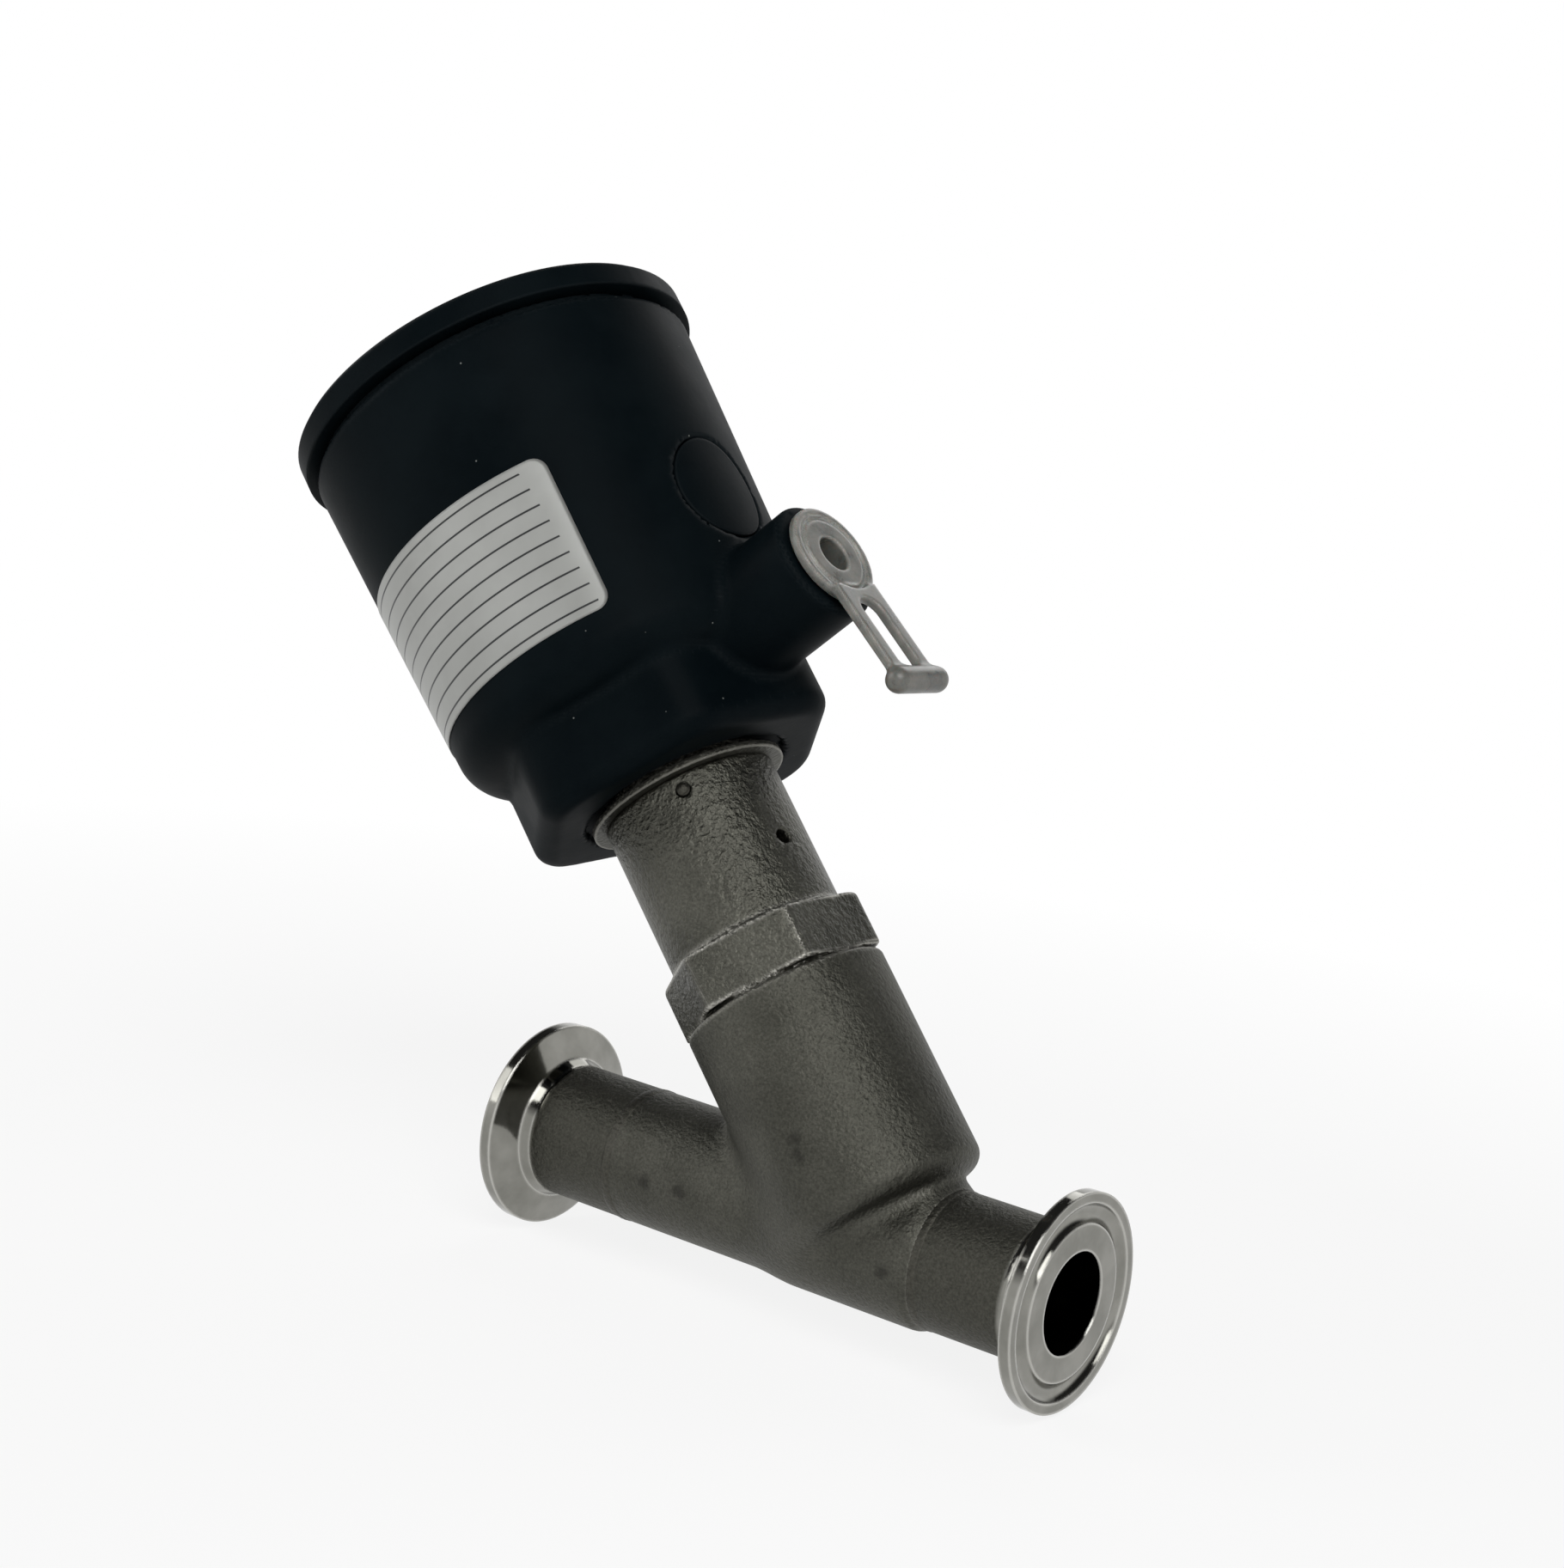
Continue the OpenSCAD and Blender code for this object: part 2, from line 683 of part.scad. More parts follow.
// Split wire ring that snaps into the grooves of the cap and the housing
module cap_lock_ring() {
    gap_w = 8;
    color(bright) on_stem() difference() {
        o_ring(spigot_r, lock_r - fit_gap, lock_h);
        translate([-spigot_r - 3, -gap_w / 2, lock_h - 2]) cube([6, gap_w, 4]);
    }
}

// Clear window over the indicator: flange, straight wall and domed top
module indicator_window() {
    dome_r = 2.5 * window_r;
    dome_at = window_top - dome_r;
    dome_rise = 1.6;
    straight = window_top - dome_rise;
    inner_straight = window_top - window_wall - dome_rise;
    color("lightcyan") on_stem() difference() {
        union() {
            rod(window_flange_r, cap_top - window_flange_t, cap_top);
            rod(window_r, cap_top - cut, straight);
            intersection() {
                translate([0, 0, dome_at]) sphere(dome_r);
                rod(window_r, straight - cut, window_top + 1);
            }
        }
        rod(window_bore_r, cap_top - window_flange_t - cut, inner_straight + cut);
        intersection() {
            translate([0, 0, dome_at]) sphere(dome_r - window_wall);
            rod(window_bore_r, inner_straight, window_top);
        }
    }
}

// Threaded metal insert of the air port
module air_port_insert() {
    color(brass) on_port(port_h) ring(port_r, port_r + 0.9 - fit_gap, 27.2, boss_out - 0.4);
}

// Flush cover that blanks the spare port and follows the housing's taper
module spare_port_cover() {
    color(black) intersection() {
        on_port(spare_h) rod(spare_r, cylinder_r + 4 + fit_gap, cap_r);
        on_stem() housing_shell(-0.1, spare_h - 2 * spare_r, spare_h + 2 * spare_r);
    }
}

// Sintered plug that vents the spring chamber
module vent_plug() {
    color(brass) on_port(vent_h) rotate([180, 0, 0]) rod(vent_r - fit_gap, cylinder_r + 2, housing_top_r - 1);
}

// Film label wrapped round the housing
module label() {
    slope = (housing_top_r - housing_low_r) / (housing_top - cone_low);
    lift = 0.03;
    low_r = housing_low_r + slope * (label_low - cone_low) + lift;
    high_r = housing_low_r + slope * (label_top - cone_low) + lift;
    right_edge = -50;
    color(white) on_stem() rotate(right_edge - label_span) rotate_extrude(angle = label_span)
        polygon([[low_r, label_low], [low_r + label_t, label_low],
            [high_r + label_t, label_top], [high_r, label_top]]);
}

// Soft pull plug: ringed head, spigot in the port, slotted strap and grip bar
module port_plug() {
    head_low = boss_out + 0.3;
    head_high = head_low + plug_head_t;
    spigot_low_at = boss_out - 8;
    strap_w = 10.4;
    strap_slot_w = 5;
    strap_t = 1.6;
    bar_len = 14;
    bar_r = 2.1;
    slot_from = plug_head_r + 0.8;
    ring_in = 6.3;
    ring_out = 7;
    ring_deep = 0.5;
    core_r = 3;
    core_floor = 1.2;
    strap_end_w = 1.4;
    color("#d8d8d0") on_port(port_h) union() {
        difference() {
            union() {
                rod(plug_head_r, head_low, head_high);
                rod(port_r - run_gap, spigot_low_at, head_low + cut);
            }
            ring(ring_in, ring_out, head_high - ring_deep, head_high + cut);
            rod(core_r, spigot_low_at + core_floor, head_high + cut);
        }
        translate([0, 0, head_low]) rotate([0, -strap_lean, 0]) difference() {
            translate([plug_head_r - 2, -strap_w / 2, 0]) cube([strap_len - plug_head_r, strap_w, strap_t]);
            translate([slot_from, -strap_slot_w / 2, -cut])
                cube([strap_len - bar_r - slot_from - strap_end_w, strap_slot_w, strap_t + 2 * cut]);
        }
        translate([0, 0, head_low]) rotate([0, -strap_lean, 0]) translate([strap_len - bar_r, 0, strap_t / 2])
            rotate([90, 0, 0]) union() {
                rod(bar_r, -bar_len / 2 + bar_r, bar_len / 2 - bar_r);
                for (side = [-1, 1]) translate([0, 0, side * (bar_len / 2 - bar_r)]) sphere(bar_r);
            }
    }
}

valve_body();
inlet_ferrule();
outlet_ferrule();
bonnet();
bonnet_gasket();
stem_scraper();
packing_spring();
packing_washer();
packing_base_ring();
packing_rings();
packing_top_ring();
gland_nut();
stem_wiper();
upper_guide_bush();
collar_ring();
locating_pin();
neck_o_rings();
snap_ring();
stem();
disc_holder();
disc_seal();
disc_nut();
piston();
piston_seal();
piston_guide_ring();
piston_washer();
piston_nut();
indicator_rod();
outer_spring();
inner_spring();
actuator_housing();
cap();
cap_o_ring();
cap_lock_ring();
indicator_window();
air_port_insert();
spare_port_cover();
vent_plug();
label();
port_plug();
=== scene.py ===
"""Angle-seat valve with clamp ferrules and a piston actuator: looks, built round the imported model."""

import bmesh
import bpy
import numpy as np
from mathutils import Matrix, Vector


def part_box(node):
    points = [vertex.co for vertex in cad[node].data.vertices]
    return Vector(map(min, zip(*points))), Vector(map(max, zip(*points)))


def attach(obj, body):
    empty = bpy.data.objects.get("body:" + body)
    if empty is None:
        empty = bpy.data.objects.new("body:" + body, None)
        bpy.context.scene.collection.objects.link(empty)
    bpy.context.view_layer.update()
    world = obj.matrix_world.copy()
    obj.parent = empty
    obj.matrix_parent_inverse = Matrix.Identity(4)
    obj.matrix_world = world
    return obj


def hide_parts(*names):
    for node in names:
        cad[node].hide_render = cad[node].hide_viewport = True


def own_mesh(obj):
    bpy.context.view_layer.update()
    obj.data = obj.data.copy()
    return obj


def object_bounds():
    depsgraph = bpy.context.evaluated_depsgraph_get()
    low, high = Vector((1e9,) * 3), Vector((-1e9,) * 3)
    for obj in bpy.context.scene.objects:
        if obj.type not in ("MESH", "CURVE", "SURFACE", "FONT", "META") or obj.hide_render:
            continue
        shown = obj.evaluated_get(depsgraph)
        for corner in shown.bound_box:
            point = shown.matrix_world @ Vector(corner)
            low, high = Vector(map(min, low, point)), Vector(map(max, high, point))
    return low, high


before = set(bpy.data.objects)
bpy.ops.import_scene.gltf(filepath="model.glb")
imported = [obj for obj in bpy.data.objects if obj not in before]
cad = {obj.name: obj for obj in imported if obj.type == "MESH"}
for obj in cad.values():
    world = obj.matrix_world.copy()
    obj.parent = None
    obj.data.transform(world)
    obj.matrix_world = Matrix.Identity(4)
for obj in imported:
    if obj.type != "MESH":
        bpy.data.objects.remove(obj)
cad_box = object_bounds()
scene = bpy.context.scene
scene.view_settings.view_transform = "Standard"


# ---------------------------------------------------------------- The room
# A plain pale floor under the valve's ferrules, which brightens towards white away
# from it, and a white surround that darkens overhead. Three soft lamps light it.
floor_drop = 0.0006
floor_half = 2.5
floor_fade_from, floor_fade_to, floor_lit = 0.16, 0.42, 0.84
sky_white_to, sky_dark_from = 0.28, 0.52
sky_dark = (0.04, 0.04, 0.04, 1)
floor_colour = (0.86, 0.86, 0.855, 1)
valve_middle = (-0.05, 0.0, 0.065)


def wire(tree, *links):
    """Joins nodes: each link is (from node, its output, to node, its input)."""
    for source, out, target, into in links:
        tree.links.new(source.outputs[out], target.inputs[into])


def add(tree, kind, **values):
    """One shader node: a value sets an input by its name, a lower-case name sets the node's own setting."""
    made = tree.nodes.new("ShaderNode" + kind)
    for name, value in values.items():
        if name[0].islower():
            setattr(made, name, value)
        else:
            made.inputs[name.replace("_", " ")].default_value = value
    return made


floor_mesh = bpy.data.meshes.new("floor")
floor_z = cad_box[0][2] - floor_drop
floor_mesh.from_pydata([(x, y, floor_z) for x, y in ((-floor_half, -floor_half), (floor_half, -floor_half),
                                                     (floor_half, floor_half), (-floor_half, floor_half))],
                       [], [(0, 1, 2, 3)])
floor = bpy.data.objects.new("floor", floor_mesh)
scene.collection.objects.link(floor)
floor_paint = bpy.data.materials.new("pale_floor")
floor_paint.use_nodes = True
tree = floor_paint.node_tree
tree.nodes.clear()
place = add(tree, "TexCoord")
centre = add(tree, "VectorMath", operation="DISTANCE")
centre.inputs[1].default_value = (valve_middle[0], valve_middle[1], floor_z)
fade = add(tree, "MapRange", From_Min=floor_fade_from, From_Max=floor_fade_to, To_Min=floor_lit)
plain = add(tree, "BsdfDiffuse", Color=floor_colour)
lit = add(tree, "Emission", Strength=1.0)
rays = add(tree, "LightPath")
seen = add(tree, "Math", operation="ADD")
seen_through = add(tree, "Math", operation="ADD", use_clamp=True)
share = add(tree, "Math", operation="MULTIPLY")
both = add(tree, "MixShader")
out = add(tree, "OutputMaterial")
wire(tree, (place, "Object", centre, 0), (centre, "Value", fade, "Value"), (rays, "Is Camera Ray", seen, 0),
     (rays, "Is Glossy Ray", seen, 1), (seen, 0, seen_through, 0),
     (rays, "Is Transmission Ray", seen_through, 1),
     (fade, "Result", share, 0), (seen_through, 0, share, 1), (share, 0, both, 0),
     (plain, 0, both, 1), (lit, 0, both, 2), (both, 0, out, 0))
floor_mesh.materials.append(floor_paint)

world = bpy.data.worlds.new("pale_room")
scene.world = world
world.use_nodes = True
tree = world.node_tree
tree.nodes.clear()
aim = add(tree, "TexCoord")
split = add(tree, "SeparateXYZ")
height = add(tree, "ValToRGB")
sky = add(tree, "Background", Strength=1.0)
out = add(tree, "OutputWorld")
height.color_ramp.elements[0].position = sky_white_to
height.color_ramp.elements[0].color = (1, 1, 1, 1)
height.color_ramp.elements[1].position = sky_dark_from
height.color_ramp.elements[1].color = sky_dark
wire(tree, (aim, "Generated", split, 0), (split, "Z", height, 0), (height, 0, sky, 0), (sky, 0, out, 0))


def softbox(name, towards, distance, size, watts):
    """A square lamp at a distance from the valve's middle, facing it."""
    middle = Vector(valve_middle)
    lamp = bpy.data.lights.new(name, "AREA")
    lamp.shape, lamp.size, lamp.energy = "SQUARE", size, watts
    holder = bpy.data.objects.new(name, lamp)
    side = Vector(towards).normalized()
    holder.matrix_world = (Matrix.Translation(middle + side * distance)
                           @ side.to_track_quat("Z", "Y").to_matrix().to_4x4())
    scene.collection.objects.link(holder)


softbox("key_lamp", (0.48, -0.55, 0.68), 0.75, 0.50, 3.6)
softbox("fill_lamp", (-0.75, -0.60, 0.45), 0.9, 0.45, 1.6)
softbox("back_lamp", (-0.2, 0.8, 0.6), 0.9, 0.5, 1.5)

lens = bpy.data.cameras.new("camera")
lens.lens, lens.sensor_width = 65.0, 36.0
lens.clip_start = 0.01
camera = bpy.data.objects.new("camera", lens)
right, up, back = (0.78996, 0.59934, 0.12940), (-0.19029, 0.03901, 0.98095), (0.58288, -0.79954, 0.14487)
turned = Matrix((right, up, back)).transposed().to_4x4()
camera.matrix_world = Matrix.Translation((0.19499, -0.35675, 0.13020)) @ turned
scene.collection.objects.link(camera)
scene.camera = camera


# ---------------------------------------------------------------- Body casting
# The Y-shaped body is one investment casting in stainless steel, blasted to a fine
# even grain, with soft fillets where the barrel grows out of the pipe.
MM = 0.001
tilt = np.radians(48.6)
along_stem = np.array([-np.cos(tilt), 0.0, np.sin(tilt)])
to_port = np.array([np.sin(tilt), 0.0, np.cos(tilt)])
cross_at = np.array([-30.4, 0.0, 0.0])


def stem_frame(point):
    """Height along the stem, distance towards the air port and distance to the back, in mm."""
    from_cross = point - cross_at
    return from_cross @ along_stem, from_cross @ to_port, from_cross[:, 1]


def join(a, b, blend):
    """Blended union: the smaller distance, less a hump that is widest where both are equal."""
    share = np.maximum(blend - np.abs(a - b), 0) / blend
    return np.minimum(a, b) - share * share * blend / 4


def cut(a, b, blend):
    """Solid a without solid b, with the new edge rounded by the same hump."""
    return -join(-a, b, blend)


def meet(a, b, blend):
    """What solids a and b share, with the edge between them rounded."""
    return -join(-a, -b, blend)


def rounded(side, end, edge):
    """Rim between a side and an end, both as distances, rounded to a quarter circle of radius edge."""
    a, b = side + edge, end + edge
    return np.hypot(np.maximum(a, 0), np.maximum(b, 0)) + np.minimum(np.maximum(a, b), 0) - edge


def skin_of(distance, node, pitch):
    """Skin of a solid that fills a CAD node's box, given by its distance function. Space is
    cut into cells of one pitch. A cell that the surface crosses gets one point, moved along
    the slope until the distance is zero, and each crossed edge of the lattice gets one
    four-sided face between the four cells round it."""
    low, high = (np.array(corner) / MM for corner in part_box(node))
    axes = [np.arange(a - 2 * pitch, b + 3 * pitch, pitch) for a, b in zip(low, high)]
    shape = tuple(len(a) for a in axes)
    lattice = np.stack(np.meshgrid(*axes, indexing="ij"), -1).reshape(-1, 3)
    inside = (distance(lattice) < 0).reshape(shape)
    corners = [inside[i:shape[0] - 1 + i, j:shape[1] - 1 + j, k:shape[2] - 1 + k]
               for i in (0, 1) for j in (0, 1) for k in (0, 1)]
    crossed = np.logical_or.reduce(corners) & ~np.logical_and.reduce(corners)
    number = np.full(crossed.shape, -1)
    number[crossed] = np.arange(crossed.sum())
    cell = np.argwhere(crossed)
    point = np.stack([axes[a][cell[:, a]] + pitch / 2 for a in range(3)], -1)
    nudge = pitch * 0.05
    for _ in range(6):
        slope = np.stack([distance(point + step) - distance(point - step) for step in np.eye(3) * nudge], -1)
        slope /= 2 * nudge
        steep = np.maximum((slope ** 2).sum(-1), 0.25)
        move = slope * (distance(point) / steep)[:, None]
        point = point - np.clip(move, -pitch / 2, pitch / 2)
    faces = []
    for a in range(3):
        b, c = (a + 1) % 3, (a + 2) % 3
        first = [slice(None)] * 3
        second = [slice(None)] * 3
        first[a], second[a] = slice(0, -1), slice(1, None)
        change = inside[tuple(first)] != inside[tuple(second)]
        at = np.argwhere(change)
        at = at[(at[:, b] > 0) & (at[:, c] > 0) & (at[:, b] < shape[b] - 1) & (at[:, c] < shape[c] - 1)]
        ring = []
        for back_b, back_c in ((1, 1), (0, 1), (0, 0), (1, 0)):
            spot = at.copy()
            spot[:, b] -= back_b
            spot[:, c] -= back_c
            ring.append(number[tuple(spot.T)])
        ring = np.stack(ring, -1)
        outward = inside[tuple(at.T)]
        ring[~outward] = ring[~outward][:, ::-1]
        faces.append(ring)
    return point * MM, np.concatenate(faces)


def mesh_piece(name, points, faces, material):
    """A new smooth piece from an array of points in metres and an array of point numbers."""
    mesh = bpy.data.meshes.new(name)
    mesh.from_pydata(points.tolist(), [], faces.tolist())
    mesh.update()
    mesh.shade_smooth()
    piece = bpy.data.objects.new(name, mesh)
    scene.collection.objects.link(piece)
    mesh.materials.append(material)
    return piece


pipe_r, pipe_from, pipe_to, pipe_swell = 11.0, -51.7, 8.4, 0.7
barrel_r, barrel_low, barrel_high = 16.9, 6.0, 43.3
passage_r, long_to, short_from = 8.0, -15.5, -2.5
chamber_r, chamber_low, thread_r, thread_low = 13.0, 9.8, 14.1, 26.0
orifice_r, lip_r, lip_half, lip_high = 7.2, 7.8, 0.6, 11.0


def body_distance(point):
    """Pipe that swells a little in the middle, joined to the leaning barrel; less the two
    passages, the chamber round the seat's lip, the orifice and the thread."""
    h, u, v = stem_frame(point)
    x = point[:, 0] - cross_at[0]
    off_pipe = np.hypot(point[:, 1], point[:, 2])
    off_stem = np.hypot(u, v)
    swell = np.clip((x + 25) / 9, 0, 1) * np.clip((8.6 - x) / 2.5, 0, 1)
    pipe = off_pipe - pipe_r - pipe_swell * swell * swell * (3 - 2 * swell)
    pipe = rounded(pipe, np.maximum(x - pipe_to, pipe_from - x), 0.3)
    barrel = rounded(off_stem - barrel_r, barrel_low - h, 3.0)
    barrel = rounded(barrel, h - barrel_high, 0.7)
    solid = join(pipe, barrel, 4.5)
    chamber = np.maximum(off_stem - chamber_r, chamber_low - h)
    long_bore = np.maximum(off_pipe - passage_r, x - long_to)
    lip = np.maximum(np.abs(off_stem - lip_r) - lip_half, h - lip_high)
    room = cut(np.minimum(chamber, long_bore), lip, 0.3)
    short_bore = np.minimum(np.maximum(off_pipe - passage_r, short_from - x),
                            np.hypot(x - short_from, off_pipe) - passage_r)
    orifice = np.maximum(off_stem - orifice_r, np.maximum(-3 - h, h - 12))
    thread = np.maximum(off_stem - thread_r, thread_low - h)
    hollow = np.minimum.reduce([room, short_bore, orifice, thread])
    return cut(solid, hollow, 0.5)


def node_group(name, inputs, outputs):
    """An empty shader group with named sockets: (name, kind, value) going in and (name, kind) coming out."""
    group = bpy.data.node_groups.new(name, "ShaderNodeTree")
    for label, kind, value in inputs:
        socket = group.interface.new_socket(label, in_out="INPUT", socket_type="NodeSocket" + kind)
        if value is not None:
            socket.default_value = value
    for label, kind in outputs:
        group.interface.new_socket(label, in_out="OUTPUT", socket_type="NodeSocket" + kind)
    return group, group.nodes.new("NodeGroupInput"), group.nodes.new("NodeGroupOutput")


# Grain of a blasted, cast or moulded face: fine and coarse relief, and a slow change of tone.
grain, given, gives = node_group("grain", [("Place", "Vector", None), ("Fine", "Float", 2500.0),
                                           ("Coarse", "Float", 600.0), ("Slow", "Float", 60.0)],
                                 [("Relief", "Float"), ("Tone", "Float"), ("Fleck", "Float")])
fine = add(grain, "TexNoise", Detail=3.0, Roughness=0.6)
coarse = add(grain, "TexNoise", Detail=2.0, Roughness=0.5)
slow = add(grain, "TexNoise", Detail=4.0, Roughness=0.55)
mixed = add(grain, "Math", operation="MULTIPLY_ADD")
mixed.inputs[1].default_value = 0.5
tone = add(grain, "MapRange", From_Min=0.35, From_Max=0.65)
for texture, size in ((fine, "Fine"), (coarse, "Coarse"), (slow, "Slow")):
    wire(grain, (given, "Place", texture, "Vector"), (given, size, texture, "Scale"))
wire(grain, (fine, 0, mixed, 0), (coarse, 0, mixed, 2), (mixed, 0, gives, "Relief"),
     (slow, 0, tone, "Value"), (tone, 0, gives, "Tone"), (fine, 0, gives, "Fleck"))

# Rounded-over edges: the face direction softened near an edge, and where that softening happens.
edges, given, gives = node_group("edges", [("Threshold", "Float", 0.06)],
                                 [("Normal", "Vector"), ("Worn", "Float")])
soft = add(edges, "Bevel", samples=6, Radius=0.0007)
flat = add(edges, "NewGeometry")
turn = add(edges, "VectorMath", operation="DOT_PRODUCT")
bend = add(edges, "Math", operation="SUBTRACT")
bend.inputs[0].default_value = 1.0
worn = add(edges, "MapRange", From_Min=0.0)
wire(edges, (soft, 0, turn, 0), (flat, "True Normal", turn, 1), (turn, "Value", bend, 1),
     (bend, 0, worn, "Value"), (given, "Threshold", worn, "From Max"), (soft, 0, gives, "Normal"),
     (worn, 0, gives, "Worn"))


def finish(name, dark, light, worn_colour, rough, metallic=0.0, relief=0.02, sizes=(2500, 600, 60),
           wear=1.0, worn_rough=-0.1, mottle=0.0, **plain_values):
    """One finish: two tones that change slowly over the surface, grain, and worn or polished
    edges. The three sizes scale the fine, coarse and slow noise; the rest are amounts."""
    material = bpy.data.materials.new(name)
    material.use_nodes = True
    tree = material.node_tree
    shader = tree.nodes["Principled BSDF"]
    place = add(tree, "TexCoord")
    texture = add(tree, "Group", node_tree=grain)
    edge = add(tree, "Group", node_tree=edges)
    for label, size in zip(("Fine", "Coarse", "Slow"), sizes):
        texture.inputs[label].default_value = size
    blend = add(tree, "Mix", data_type="RGBA")
    blend.inputs[6].default_value, blend.inputs[7].default_value = (*dark, 1), (*light, 1)
    fleck = add(tree, "MapRange", From_Min=0.3, From_Max=0.7, To_Min=1 - mottle, To_Max=1 + mottle)
    flecked = add(tree, "VectorMath", operation="SCALE")
    over = add(tree, "Mix", data_type="RGBA")
    over.inputs[7].default_value = (*worn_colour, 1)
    amount = add(tree, "Math", operation="MULTIPLY")
    amount.inputs[1].default_value = wear
    dull = add(tree, "MapRange", To_Min=rough[0], To_Max=rough[1])
    shine = add(tree, "Math", operation="MULTIPLY_ADD")
    shine.inputs[1].default_value = worn_rough
    bump = add(tree, "Bump", Strength=1.0, Distance=relief * MM)
    wire(tree, (place, "Object", texture, "Place"), (texture, "Tone", blend, 0), (blend, 2, flecked, 0),
         (texture, "Fleck", fleck, "Value"), (fleck, 0, flecked, "Scale"), (flecked, 0, over, 6),
         (edge, "Worn", amount, 0), (amount, 0, over, 0), (over, 2, shader, "Base Color"),
         (texture, "Tone", dull, "Value"), (amount, 0, shine, 0), (dull, 0, shine, 2),
         (shine, 0, shader, "Roughness"), (texture, "Relief", bump, "Height"),
         (edge, "Normal", bump, "Normal"), (bump, 0, shader, "Normal"))
    shader.inputs["Metallic"].default_value = metallic
    for label, value in plain_values.items():
        shader.inputs[label.replace("_", " ")].default_value = value
    return material


blast_sizes, blast_relief, blast_mottle = (2400, 1150, 80), 0.24, 0.28
cast_steel = finish("cast_steel", (0.062, 0.0615, 0.0515), (0.092, 0.091, 0.077), (0.40, 0.39, 0.35),
                    (0.47, 0.57), metallic=1.0, relief=blast_relief, sizes=blast_sizes, wear=0.45,
                    mottle=blast_mottle)


def stain(material, spots, colour, size):
    """Darkens a finish in ragged patches round a few places, given in mm."""
    tree = material.node_tree
    shader = tree.nodes["Principled BSDF"]
    source = shader.inputs["Base Color"].links[0].from_socket
    place = add(tree, "TexCoord")
    rag = add(tree, "TexNoise", Scale=700.0, Detail=3.0)
    wire(tree, (place, "Object", rag, "Vector"))
    for spot in spots:
        gap = add(tree, "VectorMath", operation="DISTANCE")
        gap.inputs[1].default_value = [value * MM for value in spot]
        near = add(tree, "MapRange", From_Min=size * MM, From_Max=0.0)
        patch = add(tree, "Math", operation="MULTIPLY")
        sharp = add(tree, "MapRange", From_Min=0.20, From_Max=0.40, To_Max=0.62)
        over = add(tree, "Mix", data_type="RGBA")
        over.inputs[7].default_value = (*colour, 1)
        wire(tree, (place, "Object", gap, 0), (gap, "Value", near, "Value"), (near, 0, patch, 0),
             (rag, 0, patch, 1), (patch, 0, sharp, "Value"), (sharp, 0, over, 0))
        tree.links.new(source, over.inputs[6])
        source = over.outputs[2]
    tree.links.new(source, shader.inputs["Base Color"])


body_steel = cast_steel.copy()
body_steel.name = "body_steel"
stain_spots = [(-41.9, -16.8, 16.3), (-40.9, -16.6, 13.9), (-26.6, -11.7, -1.0), (-73.7, -11.0, -0.4),
               (-66.7, -11.0, 0.2)]
stain(body_steel, stain_spots, (0.028, 0.027, 0.024), 2.6)
body_skin = mesh_piece("body_casting", *skin_of(body_distance, "valve_body", 0.5), body_steel)
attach(body_skin, "valve")
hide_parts("valve_body")


def dress(material, *names):
    """Gives CAD nodes a finish through their material slots."""
    for name in names:
        if not cad[name].material_slots:
            cad[name].data.materials.append(material)
        for slot in cad[name].material_slots:
            slot.material = material


dress(body_steel, "valve_body")


# ---------------------------------------------------------------- Clamp ferrules
# Two turned stainless ferrules with a round gasket groove in each sealing face. The
# rims are polished; the stubs, welded to the body's pipe ends, are blasted with it. The
# blasted part is where a point lies far enough inboard and outside the bore.
pipe_middle = -0.05205
stub_from, stub_full, bore_clear = 0.0462, 0.0454, 0.0095
polished = finish("polished_steel", (0.20, 0.198, 0.178), (0.27, 0.266, 0.243), (0.75, 0.74, 0.70),
                  (0.05, 0.12), metallic=1.0, relief=0.003, sizes=(3500, 1200, 150), wear=0.5,
                  worn_rough=0.0)
tree = polished.node_tree
shader = tree.nodes["Principled BSDF"]
place = add(tree, "TexCoord")
split = add(tree, "SeparateXYZ")
off_middle = add(tree, "Math", operation="ADD")
off_middle.inputs[1].default_value = -pipe_middle
span = add(tree, "Math", operation="ABSOLUTE")
stub = add(tree, "MapRange", From_Min=stub_from, From_Max=stub_full)
blasted = add(tree, "Mix", data_type="RGBA")
dull = add(tree, "Mix")
no_x = add(tree, "VectorMath", operation="MULTIPLY")
no_x.inputs[1].default_value = (0, 1, 1)
off_pipe = add(tree, "VectorMath", operation="LENGTH")
outside = add(tree, "Math", operation="GREATER_THAN")
outside.inputs[1].default_value = bore_clear
inboard = add(tree, "Math", operation="MULTIPLY")
blast_grain = add(tree, "Group", node_tree=grain)
for label, size in zip(("Fine", "Coarse", "Slow"), blast_sizes):
    blast_grain.inputs[label].default_value = size
fleck = add(tree, "MapRange", From_Min=0.3, From_Max=0.7, To_Min=1 - blast_mottle, To_Max=1 + blast_mottle)
flecked = add(tree, "VectorMath", operation="SCALE")
flecked.inputs[0].default_value = (0.070, 0.069, 0.058)
rise = add(tree, "Math", operation="MULTIPLY")
bump = add(tree, "Bump", Strength=1.0, Distance=blast_relief * MM)
wire(tree, (place, "Object", split, 0), (split, "X", off_middle, 0), (off_middle, 0, span, 0),
     (span, 0, stub, "Value"), (place, "Object", no_x, 0), (no_x, 0, off_pipe, 0),
     (off_pipe, "Value", outside, 0), (stub, 0, inboard, 0), (outside, 0, inboard, 1),
     (inboard, 0, blasted, 0), (inboard, 0, dull, 0), (place, "Object", blast_grain, "Place"),
     (blast_grain, "Fleck", fleck, "Value"), (fleck, 0, flecked, "Scale"),
     (blast_grain, "Relief", rise, 0), (inboard, 0, rise, 1), (rise, 0, bump, "Height"))
tree.links.new(shader.inputs["Normal"].links[0].from_socket, bump.inputs["Normal"])
tree.links.new(bump.outputs[0], shader.inputs["Normal"])
